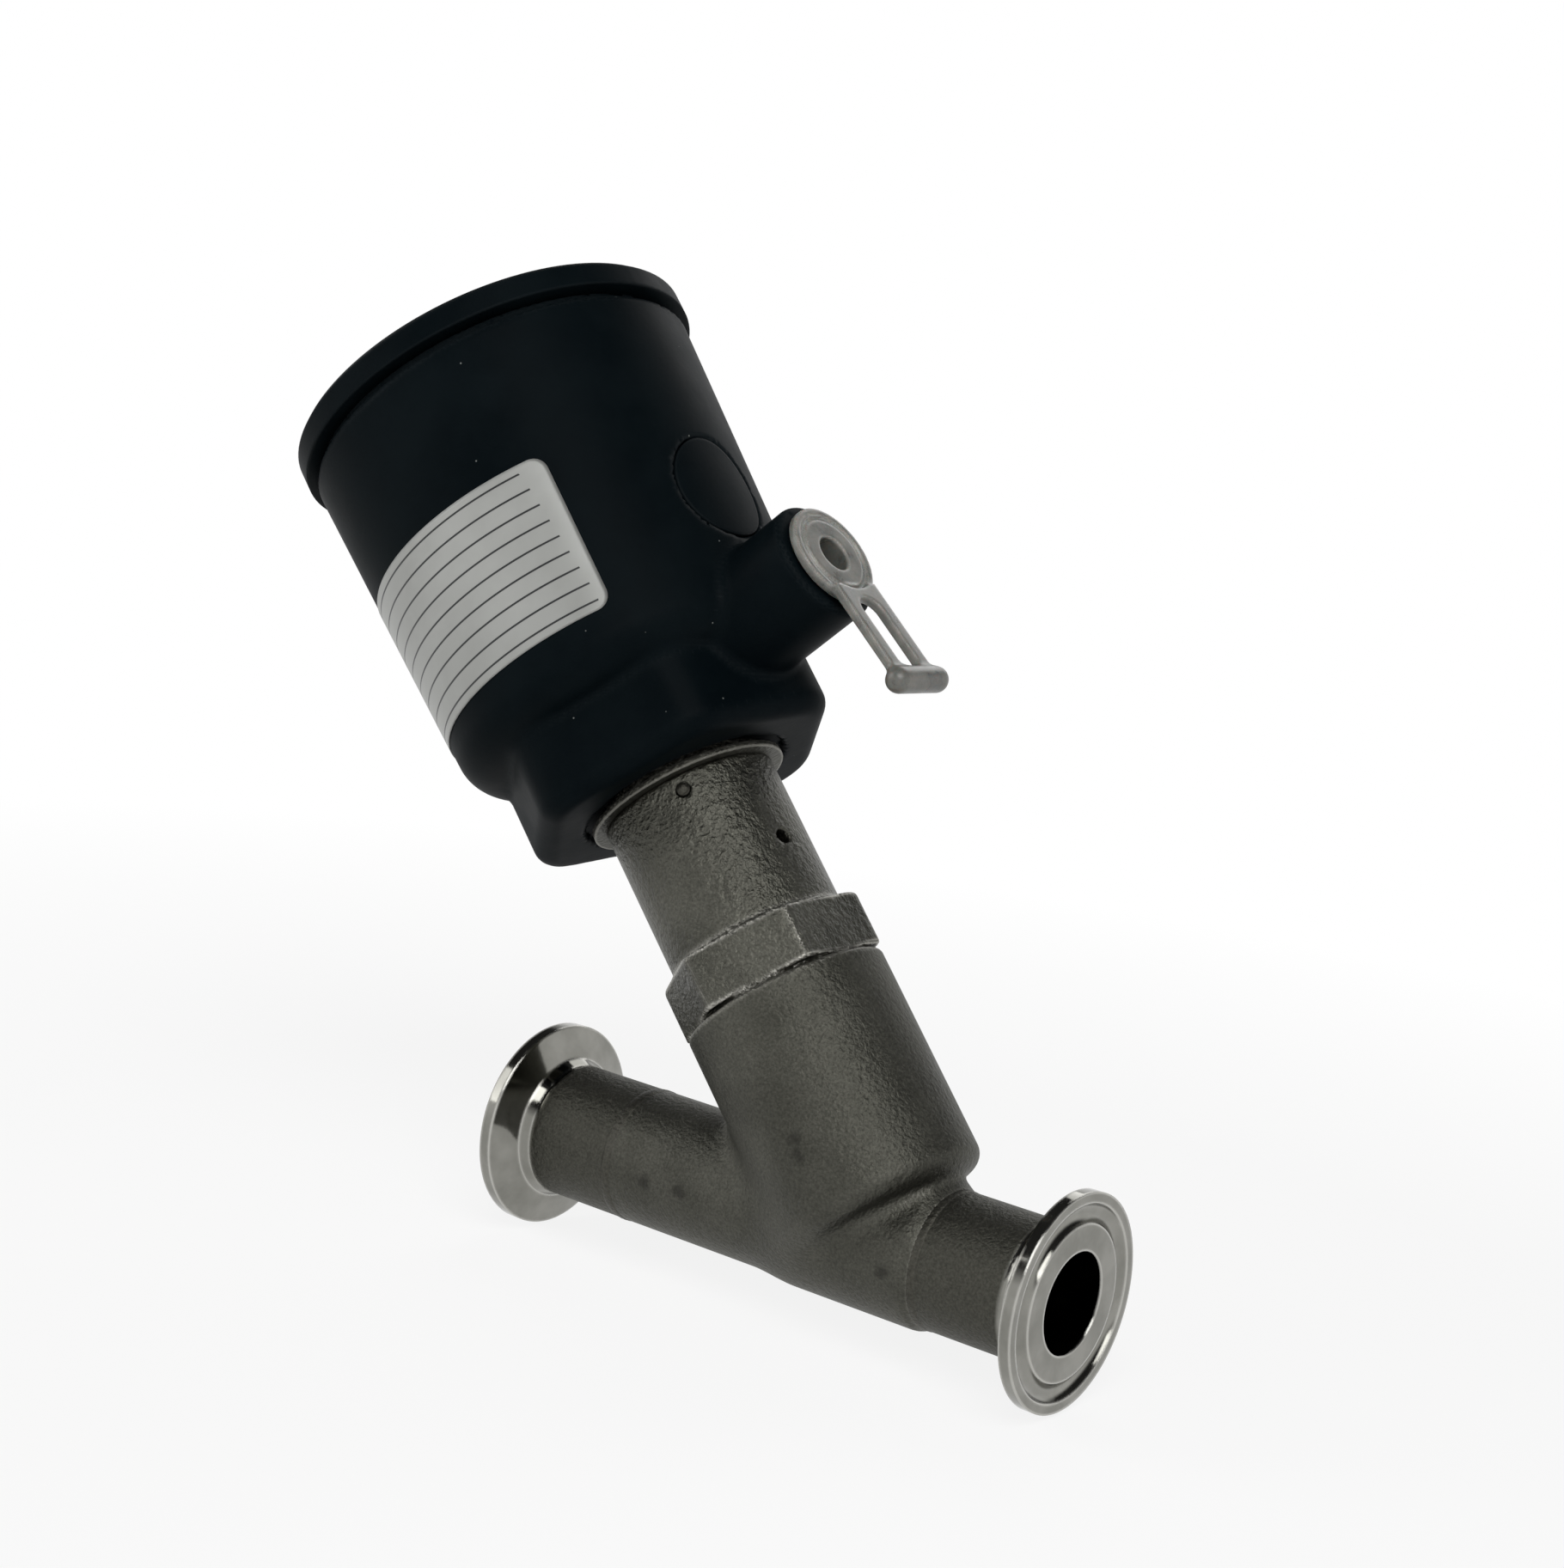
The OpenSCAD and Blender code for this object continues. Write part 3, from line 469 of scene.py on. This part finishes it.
tree.links.new(shader.inputs["Base Color"].links[0].from_socket, blasted.inputs[6])
tree.links.new(flecked.outputs[0], blasted.inputs[7])
tree.links.new(blasted.outputs[2], shader.inputs["Base Color"])
tree.links.new(shader.inputs["Roughness"].links[0].from_socket, dull.inputs[2])
dull.inputs[3].default_value = 0.55
tree.links.new(dull.outputs[0], shader.inputs["Roughness"])
dress(polished, "inlet_ferrule", "outlet_ferrule")


# ---------------------------------------------------------------- Weld seams
# The orbital welds between ferrules and body: one low bead each, in faint ripples,
# blasted over with the casting.
bead_r, bead_foot_r, bead_half, bead_height, bead_steps = 10.98, 10.4, 1.0, 0.13, 240


def bead(middle_x):
    """Ring of a bead: across the bead the height follows a parabola, and round the pipe it
    rises and falls a little with each ripple; its foot is sunk in the pipe wall."""
    across = np.linspace(-1, 1, 11)
    turn = np.linspace(0, 2 * np.pi, bead_steps, endpoint=False)[:, None]
    height = bead_height * (1 - across ** 2) * (1 + 0.25 * np.sin(80 * turn + 2 * across))
    radius = np.hstack([bead_r + height, np.full((bead_steps, 2), bead_foot_r)])
    feet = np.tile([middle_x + bead_half, middle_x - bead_half], (bead_steps, 1))
    x = np.hstack([middle_x + across * bead_half + 0 * turn, feet])
    points = np.stack([x, radius * np.cos(turn), radius * np.sin(turn)], -1).reshape(-1, 3) * MM
    count = radius.shape[1]
    i, j = np.meshgrid(np.arange(bead_steps), np.arange(count), indexing="ij")
    after, beside = (i + 1) % bead_steps, (j + 1) % count
    corners = [i * count + j, after * count + j, after * count + beside, i * count + beside]
    return points, np.stack(corners, -1).reshape(-1, 4)


weld_steel = finish("weld_steel", (0.060, 0.058, 0.048), (0.084, 0.082, 0.070), (0.10, 0.098, 0.085),
                    (0.48, 0.58), metallic=1.0, relief=0.22, sizes=blast_sizes, wear=0.2,
                    mottle=blast_mottle)
for seam, seam_x in (("inlet_weld", -22.0), ("outlet_weld", -82.1)):
    points, faces = bead(seam_x)
    weld = mesh_piece(seam, points, faces, weld_steel)
    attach(weld, "valve")


# ---------------------------------------------------------------- Bonnet
# A cast tube with a hexagon at its foot, screwed into the barrel. Spanners wear the
# hexagon's edges bright; the neck above the collar is turned for the actuator's seals.
def hexagon(a, b, flat, turn):
    """Distance to a six-sided bar: the farthest of its six flats."""
    angles = np.radians(turn + 30 + 60 * np.arange(6))
    return np.max(a[:, None] * np.cos(angles) + b[:, None] * np.sin(angles), axis=1) - flat


def drilled(h, u, v, at, angle, radius, start):
    """Distance to a round hole that runs outwards from the stem axis at one height and angle."""
    out_way, beside = np.cos(np.radians(angle)), np.sin(np.radians(angle))
    outward = u * out_way + v * beside
    return np.maximum(np.hypot(h - at, v * out_way - u * beside) - radius, start - outward)


shank_r, shank_low, shoulder_r = 14.05, 27.5, 15.25
hexagon_flat, hexagon_corner, hexagon_turn = 15.33, 17.5, 25
hexagon_low, hexagon_high, hexagon_chamfer = 43.9, 53.1, 70.15
tube_r, tube_top, neck_r, neck_top = 14.6, 79.6, 14.0, 104.0
leak_hole_h, leak_hole_r, pin_hole_h, pin_hole_r = 64.5, 1.30, 77, 1.1


def bonnet_distance(point):
    """Shank, hexagon, tube and neck, one above the other; less the packing bore, the
    leak chamber, the bush bore, the leak hole, the pin hole and the seal grooves."""
    h, u, v = stem_frame(point)
    off = np.hypot(u, v)
    shank = rounded(off - shank_r, shank_low - h, 0.4)
    shank = np.maximum(shank, h - 43.6)
    shoulder = np.maximum(off - shoulder_r, np.maximum(barrel_high - h, h - 45))
    six = hexagon(u, v, hexagon_flat, hexagon_turn)
    six = meet(six, off - hexagon_corner, 0.4)
    six = meet(six, (off + h - hexagon_chamfer) / np.sqrt(2), 0.4)
    six = rounded(six, np.maximum(hexagon_low - h, h - hexagon_high), 0.3)
    tube = rounded(off - tube_r, h - tube_top, 0.3)
    tube = np.maximum(tube, 46 - h)
    neck = rounded(off - neck_r, h - neck_top, 0.4)
    neck = np.maximum(neck, 46 - h)
    solid = np.minimum.reduce([shank, shoulder, join(six, tube, 1.0), neck])
    hollow = np.minimum.reduce([
        off - 4.3, np.maximum(off - 6.4, h - 30.5), np.maximum(off - 8.0, np.maximum(31.7 - h, h - 64)),
        np.maximum(off - 10.0, np.maximum(63.1 - h, h - 78)), np.maximum(off - 6.6, 82 - h),
        np.maximum(11.8 - off, np.minimum(np.abs(h - 87), np.abs(h - 93)) - 1.4),
        np.maximum(12.8 - off, np.abs(h - 101.95) - 0.65)])
    hollow = np.maximum(hollow, np.maximum(27.0 - h, h - 105))
    solid = cut(solid, hollow, 0.3)
    holes = np.minimum(drilled(h, u, v, leak_hole_h, -7, leak_hole_r, 0),
                       drilled(h, u, v, pin_hole_h, -55.5, pin_hole_r, 11.6))
    return cut(solid, holes, 0.2)


hexagon_wear, wear_stops = 0.8, (55.0, 58.0)
bonnet_steel = finish("bonnet_steel", (0.063, 0.0625, 0.0525), (0.098, 0.097, 0.082), (0.46, 0.45, 0.41),
                      (0.34, 0.43), metallic=1.0, relief=0.40, sizes=(2200, 900, 80),
                      mottle=blast_mottle)
tree = bonnet_steel.node_tree
place = add(tree, "TexCoord")
from_cross = add(tree, "VectorMath", operation="SUBTRACT")
from_cross.inputs[1].default_value = cross_at * MM
up_stem = add(tree, "VectorMath", operation="DOT_PRODUCT")
up_stem.inputs[1].default_value = along_stem
handled = add(tree, "MapRange", From_Min=wear_stops[1] * MM, From_Max=wear_stops[0] * MM,
              To_Max=hexagon_wear)
worn = next(node for node in tree.nodes if node.type == "MATH" and node.operation == "MULTIPLY")
wire(tree, (place, "Object", from_cross, 0), (from_cross, 0, up_stem, 0),
     (up_stem, "Value", handled, "Value"), (handled, 0, worn, 1))
bonnet_skin = mesh_piece("bonnet_casting", *skin_of(bonnet_distance, "bonnet", 0.46), bonnet_steel)
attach(bonnet_skin, "valve")
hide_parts("bonnet")
dress(bonnet_steel, "bonnet")
dress(cast_steel, "collar_ring")
dress(weld_steel, "locating_pin")


# ---------------------------------------------------------------- Turned pieces
# Stem, disc holder, washers and nuts: turned or stamped stainless steel, left as
# machined.
machined = finish("machined_steel", (0.20, 0.197, 0.175), (0.27, 0.265, 0.24), (0.6, 0.59, 0.56),
                  (0.26, 0.36), metallic=1.0, relief=0.012, sizes=(2600, 900, 150), wear=0.6)
dress(machined, "packing_washer", "stem", "disc_holder", "disc_nut", "piston_washer",
      "piston_nut")


# ---------------------------------------------------------------- Springs and spring rings
# Return springs and packing spring wound from drawn wire, with the two split rings.
# The return springs are copies of the imported coils with their points welded, hung on the actuator.
spring_steel = finish("spring_steel", (0.20, 0.20, 0.20), (0.30, 0.30, 0.30), (0.5, 0.5, 0.5), (0.25, 0.4),
                      metallic=1.0, relief=0.012, sizes=(3000, 800, 200), wear=0.3)
dress(spring_steel, "packing_spring", "outer_spring", "inner_spring", "snap_ring", "cap_lock_ring")

stem_travel, weld_gap = 8.0, 0.001 * MM
for coil_name, coil_node in (("outer_return_coil", "outer_spring"), ("inner_return_coil", "inner_spring")):
    source = cad[coil_node]
    wound = bmesh.new()
    wound.from_mesh(source.data)
    wound.transform(source.matrix_world)
    bmesh.ops.remove_doubles(wound, verts=wound.verts, dist=weld_gap)
    faces = np.array([[vertex.index for vertex in face.verts] for face in wound.faces])
    coil = mesh_piece(coil_name, np.array([vertex.co for vertex in wound.verts]), faces, spring_steel)
    wound.free()
    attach(coil, "actuator")
    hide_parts(coil_node)
    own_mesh(coil)


# ---------------------------------------------------------------- Bronze pieces
# Gland, guide bush, threaded port insert and sintered vent plug.
bronze = finish("bronze", (0.40, 0.25, 0.10), (0.52, 0.34, 0.14), (0.8, 0.6, 0.3), (0.25, 0.4),
                metallic=1.0, relief=0.03, sizes=(3000, 1200, 200), wear=0.5)
dress(bronze, "gland_nut", "upper_guide_bush", "air_port_insert", "vent_plug")


# ---------------------------------------------------------------- White seals
# Filled fluoropolymer: bonnet gasket, scraper, packing rings, disc seal and guide ring.
white_seal = finish("white_seal", (0.60, 0.60, 0.56), (0.72, 0.72, 0.69), (0.8, 0.8, 0.78), (0.4, 0.5),
                    relief=0.01, sizes=(2500, 700, 120), wear=0.2)
dress(white_seal, "bonnet_gasket", "stem_scraper", "packing_base_ring", "packing_rings",
      "packing_top_ring", "disc_seal", "piston_guide_ring")


# ---------------------------------------------------------------- Rubber seals
# Moulded black rings and lips: two neck rings, the stem's wiper, the piston's lip seal
# and the cap's ring, all in one soft matt finish.
rubber = finish("black_rubber", (0.010, 0.010, 0.010), (0.020, 0.020, 0.019), (0.05, 0.05, 0.05), (0.5, 0.62),
                relief=0.02, sizes=(2500, 700, 120), wear=0.2)
dress(rubber, "neck_o_rings", "stem_wiper", "piston_seal", "cap_o_ring")


# ---------------------------------------------------------------- Piston and position indicator
# The piston is moulded in natural glass-filled nylon, the indicator in orange.
piston_plastic = finish("piston_plastic", (0.32, 0.31, 0.27), (0.41, 0.40, 0.36), (0.5, 0.5, 0.46),
                        (0.35, 0.45), relief=0.02, sizes=(2500, 700, 120), wear=0.3)
indicator_plastic = finish("indicator_plastic", (0.52, 0.13, 0.02), (0.62, 0.18, 0.03),
                           (0.7, 0.3, 0.1), (0.3, 0.4), relief=0.01, sizes=(2500, 700, 120), wear=0.2)
dress(piston_plastic, "piston")
dress(indicator_plastic, "indicator_rod")


# ---------------------------------------------------------------- Actuator housing
# One moulding in black glass-filled nylon: tapered cylinder, soft-cornered six-sided
# neck and air port boss. Its skin is satin, with stray dust on it. The cap and the
# spare port's cover are moulded in the same black.
housing_black = finish("housing_plastic", (0.0015, 0.0033, 0.0044), (0.0030, 0.0055, 0.0068),
                       (0.016, 0.020, 0.022), (0.44, 0.52), relief=0.016, sizes=(3200, 1000, 70),
                       wear=0.3, IOR=1.09)


dust_scale, dust_share = 420.0, 0.93


def dust(material, colour):
    """Stray light specks: the middles of a few cells out of many small random ones."""
    tree = material.node_tree
    shader = tree.nodes["Principled BSDF"]
    place = add(tree, "TexCoord")
    cells = add(tree, "TexVoronoi", Scale=dust_scale, Randomness=1.0)
    dot = add(tree, "MapRange", From_Min=0.075, From_Max=0.045)
    lucky = add(tree, "SeparateColor")
    few = add(tree, "Math", operation="GREATER_THAN")
    few.inputs[1].default_value = dust_share
    both = add(tree, "Math", operation="MULTIPLY")
    over = add(tree, "Mix", data_type="RGBA")
    over.inputs[7].default_value = (*colour, 1)
    wire(tree, (place, "Object", cells, "Vector"), (cells, "Distance", dot, "Value"),
         (cells, "Color", lucky, 0), (lucky, 0, few, 0), (few, 0, both, 0), (dot, 0, both, 1),
         (both, 0, over, 0))
    tree.links.new(shader.inputs["Base Color"].links[0].from_socket, over.inputs[6])
    tree.links.new(over.outputs[2], shader.inputs["Base Color"])


dust(housing_black, (0.14, 0.15, 0.145))


port_h, boss_r, boss_end, port_r = 97.3, 10.1, 43.3, 5.8
drum_low, drum_top, piston_bore_r, cap_seat_r = 94.5, 155.7, 25.0, 27.05
neck_flat, neck_corner, neck_turn, neck_low = 25.0, 27.4, 19, 80.9


def housing_radius(h):
    """Outside of the tapered drum at one height: it widens evenly up the stem."""
    return 31.5 + (h - 100.5) * 2.4 / 55.2


def housing_distance(point):
    """Tapered drum with a round lower edge, joined to a six-sided neck and to the boss;
    less the piston bore, the cap's seat, the neck bore, the ports and the air passages."""
    h, u, v = stem_frame(point)
    off = np.hypot(u, v)
    drum = rounded(off - housing_radius(h), drum_low - h, 6.0)
    drum = rounded(drum, h - drum_top, 0.4)
    neck = meet(hexagon(u, v, neck_flat, neck_turn), off - neck_corner, 1.0)
    neck = np.maximum(rounded(neck, neck_low - h, 3.2), h - 100)
    off_port = np.hypot(h - port_h, v)
    boss = np.maximum(rounded(off_port - boss_r, u - boss_end, 1.0), 21 - u)
    solid = join(join(drum, neck, 1.6), boss, 1.8)
    air_way = np.minimum(np.maximum(off_port - 1.8, 21 - u),
                         np.maximum(np.hypot(u - 21, v) - 2.4, np.maximum(94.9 - h, h - 102)))
    lock = np.maximum(np.abs(off - 27) - 1.0, np.abs(h - 148.2) - 1.05)
    hollow = np.minimum.reduce([
        np.maximum(off - piston_bore_r, 101 - h), np.maximum(off - cap_seat_r, 145.7 - h), off - 14.05,
        np.maximum(off - 17.6, h - 82.3), np.maximum(32.7 - off, 154.3 - h), lock,
        np.maximum(off_port - port_r, 27 - u), air_way,
        np.maximum(np.hypot(h - 118.5, v) - 9.25, 29 - u), np.maximum(np.hypot(h - 142, v) - 2.6, 24 + u)])
    return cut(solid, hollow, 0.5)


housing_skin = mesh_piece("housing_moulding", *skin_of(housing_distance, "actuator_housing", 0.72),
                          housing_black)
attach(housing_skin, "actuator")
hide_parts("actuator_housing")
dress(housing_black, "actuator_housing", "cap", "spare_port_cover")


# ---------------------------------------------------------------- Indicator window
# A clear moulded dome set in the cap's middle, over the orange indicator that rises
# with the stem.
clear = finish("clear_plastic", (0.90, 0.92, 0.92), (0.95, 0.96, 0.96), (1, 1, 1), (0.04, 0.10), relief=0.002,
               sizes=(2500, 700, 120), wear=0.2, Transmission_Weight=1.0, IOR=1.49)
dress(clear, "indicator_window")


# ---------------------------------------------------------------- Label
# A silver-grey film stuck round the housing, round at its corners. It is a blank
# write-on label: thin ruled lines and nothing else.
label_lift = 0.03
line_pitch, line_middle, line_half = 3.0, 1.5, 0.16
ruled_middle, ruled_half = 42.0, 39.5
label_low, label_high, film_t, label_corner = 103.6, 130.6, 0.15, 2.5
first_angle, last_angle = -200.0, -50.0


def label_shell():
    """Two matching grids, one film thickness apart, joined round their edges. Along the
    label a point follows the housing's taper; near a corner the row's ends draw in by a
    quarter circle."""
    rows, columns = 61, 181
    h = label_low + (label_high - label_low) * (1 - np.cos(np.linspace(0, np.pi, rows))) / 2
    near_edge = np.minimum(h - label_low, label_high - h)
    short = np.maximum(label_corner - near_edge, 0)
    draw_in = label_corner - np.sqrt(label_corner ** 2 - short ** 2)
    radius = housing_radius(h) + label_lift
    trim = np.degrees(draw_in / radius)
    share = np.linspace(0, 1, columns)
    angle = np.radians((first_angle + trim)[:, None] * (1 - share) + (last_angle - trim)[:, None] * share)
    sheets = []
    for lift in (film_t, 0.0):
        r = (radius + lift)[:, None]
        outward = (r * np.cos(angle))[..., None] * to_port
        sideways = (r * np.sin(angle))[..., None] * np.array([0, 1.0, 0])
        sheets.append(cross_at + h[:, None, None] * along_stem + outward + sideways)
    points = np.concatenate([sheet.reshape(-1, 3) for sheet in sheets]) * MM
    number = np.arange(rows * columns).reshape(rows, columns)
    top = np.stack([number[:-1, :-1], number[:-1, 1:], number[1:, 1:], number[1:, :-1]], -1).reshape(-1, 4)
    rim = np.concatenate([number[0, :-1], number[:-1, -1], number[-1, :0:-1], number[:0:-1, 0]])
    ahead = np.roll(rim, -1)
    below = rows * columns
    sides = np.stack([rim, rim + below, ahead + below, ahead], -1)
    along = np.radians(share[None, :] * (last_angle - first_angle)) * radius[:, None]
    place = np.stack([along, np.broadcast_to((h - label_low)[:, None], along.shape)], -1).reshape(-1, 2)
    return points, np.concatenate([top, top[:, ::-1] + below, sides]), np.concatenate([place, place])


film = finish("label_film", (0.28, 0.285, 0.27), (0.335, 0.34, 0.325), (0.5, 0.5, 0.5), (0.34, 0.42),
              metallic=0.15, relief=0.004, sizes=(2500, 500, 60), wear=0.1)
points, faces, place_mm = label_shell()
label_piece = mesh_piece("blank_label", points, faces, film)
ruled = label_piece.data.uv_layers.new(name="label_mm")
corner_of = np.zeros(len(label_piece.data.loops), np.int32)
label_piece.data.loops.foreach_get("vertex_index", corner_of)
ruled.data.foreach_set("uv", (place_mm[corner_of] * MM).astype(np.float32).ravel())
tree = film.node_tree
shader = tree.nodes["Principled BSDF"]
map_mm = add(tree, "UVMap", uv_map="label_mm")
split = add(tree, "SeparateXYZ")
pitch_of = add(tree, "Math", operation="MODULO")
pitch_of.inputs[1].default_value = line_pitch * MM
middle = add(tree, "Math", operation="COMPARE")
middle.inputs[1].default_value, middle.inputs[2].default_value = line_middle * MM, line_half * MM
margin = add(tree, "Math", operation="COMPARE")
margin.inputs[1].default_value, margin.inputs[2].default_value = ruled_middle * MM, ruled_half * MM
both = add(tree, "Math", operation="MULTIPLY")
ink = add(tree, "Mix", data_type="RGBA")
ink.inputs[7].default_value = (0.012, 0.012, 0.014, 1)
wire(tree, (map_mm, 0, split, 0), (split, "Y", pitch_of, 0), (pitch_of, 0, middle, 0),
     (split, "X", margin, 0), (middle, 0, both, 0), (margin, 0, both, 1), (both, 0, ink, 0))
tree.links.new(shader.inputs["Base Color"].links[0].from_socket, ink.inputs[6])
tree.links.new(ink.outputs[2], shader.inputs["Base Color"])
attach(label_piece, "actuator")
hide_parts("label")
dress(film, "label")


# ---------------------------------------------------------------- Pull plug
# Soft translucent plug in the air port: ringed head, slotted strap that leans out,
# and a rounded grip bar, moulded in one.
milky = finish("plug_plastic", (0.088, 0.089, 0.080), (0.158, 0.156, 0.138), (0.38, 0.38, 0.355),
               (0.26, 0.40), relief=0.02, sizes=(2500, 420, 260), wear=0.6, mottle=0.12, Subsurface_Weight=0.3,
               Subsurface_Scale=0.002)
plug_head_r, plug_head_u, plug_peg_r, plug_peg_start = 8.4, 44.4, 4.85, 35.3
strap_lean, strap_u, strap_half, strap_end = np.radians(8), 43.6, 5.2, 25.1
slot_middle, slot_straight, slot_half = 16.5, 4.7, 2.5
bar_r, bar_straight = 2.1, 4.9


def plug_distance(point):
    """Head and hollow spigot on the port's axis, joined to a flat strap with a long
    round-ended slot, and to a grip bar that is a line thickened by its radius."""
    h, u, v = stem_frame(point)
    down = port_h - h
    off = np.hypot(down, v)
    head = rounded(off - plug_head_r, np.abs(u - plug_head_u) - 0.8, 0.4)
    peg = rounded(off - plug_peg_r, plug_peg_start - u, 0.4)
    peg = np.maximum(peg, u - plug_head_u)
    along = down * np.cos(strap_lean) + (u - strap_u) * np.sin(strap_lean)
    out = (u - strap_u) * np.cos(strap_lean) - down * np.sin(strap_lean)
    strap = rounded(np.abs(v) - strap_half, np.abs(out - 0.8) - 0.8, 0.5)
    strap = np.maximum(strap, np.maximum(6.4 - along, along - strap_end))
    slot = np.hypot(np.maximum(np.abs(along - slot_middle) - slot_straight, 0), v) - slot_half
    past_bar = np.maximum(np.abs(v) - bar_straight, 0)
    bar = np.sqrt((along - strap_end) ** 2 + (out - 0.8) ** 2 + past_bar ** 2) - bar_r
    solid = join(join(head, cut(strap, slot, 0.5), 1.0), bar, 1.0)
    solid = join(solid, peg, 0.5)
    hollow = np.minimum(np.maximum(off - 3.0, 36.5 - u), np.maximum(np.abs(off - 6.65) - 0.35, 44.7 - u))
    return cut(solid, hollow, 0.4)


plug_skin = mesh_piece("plug_moulding", *skin_of(plug_distance, "port_plug", 0.3), milky)
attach(plug_skin, "plug")
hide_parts("port_plug")
dress(milky, "port_plug")
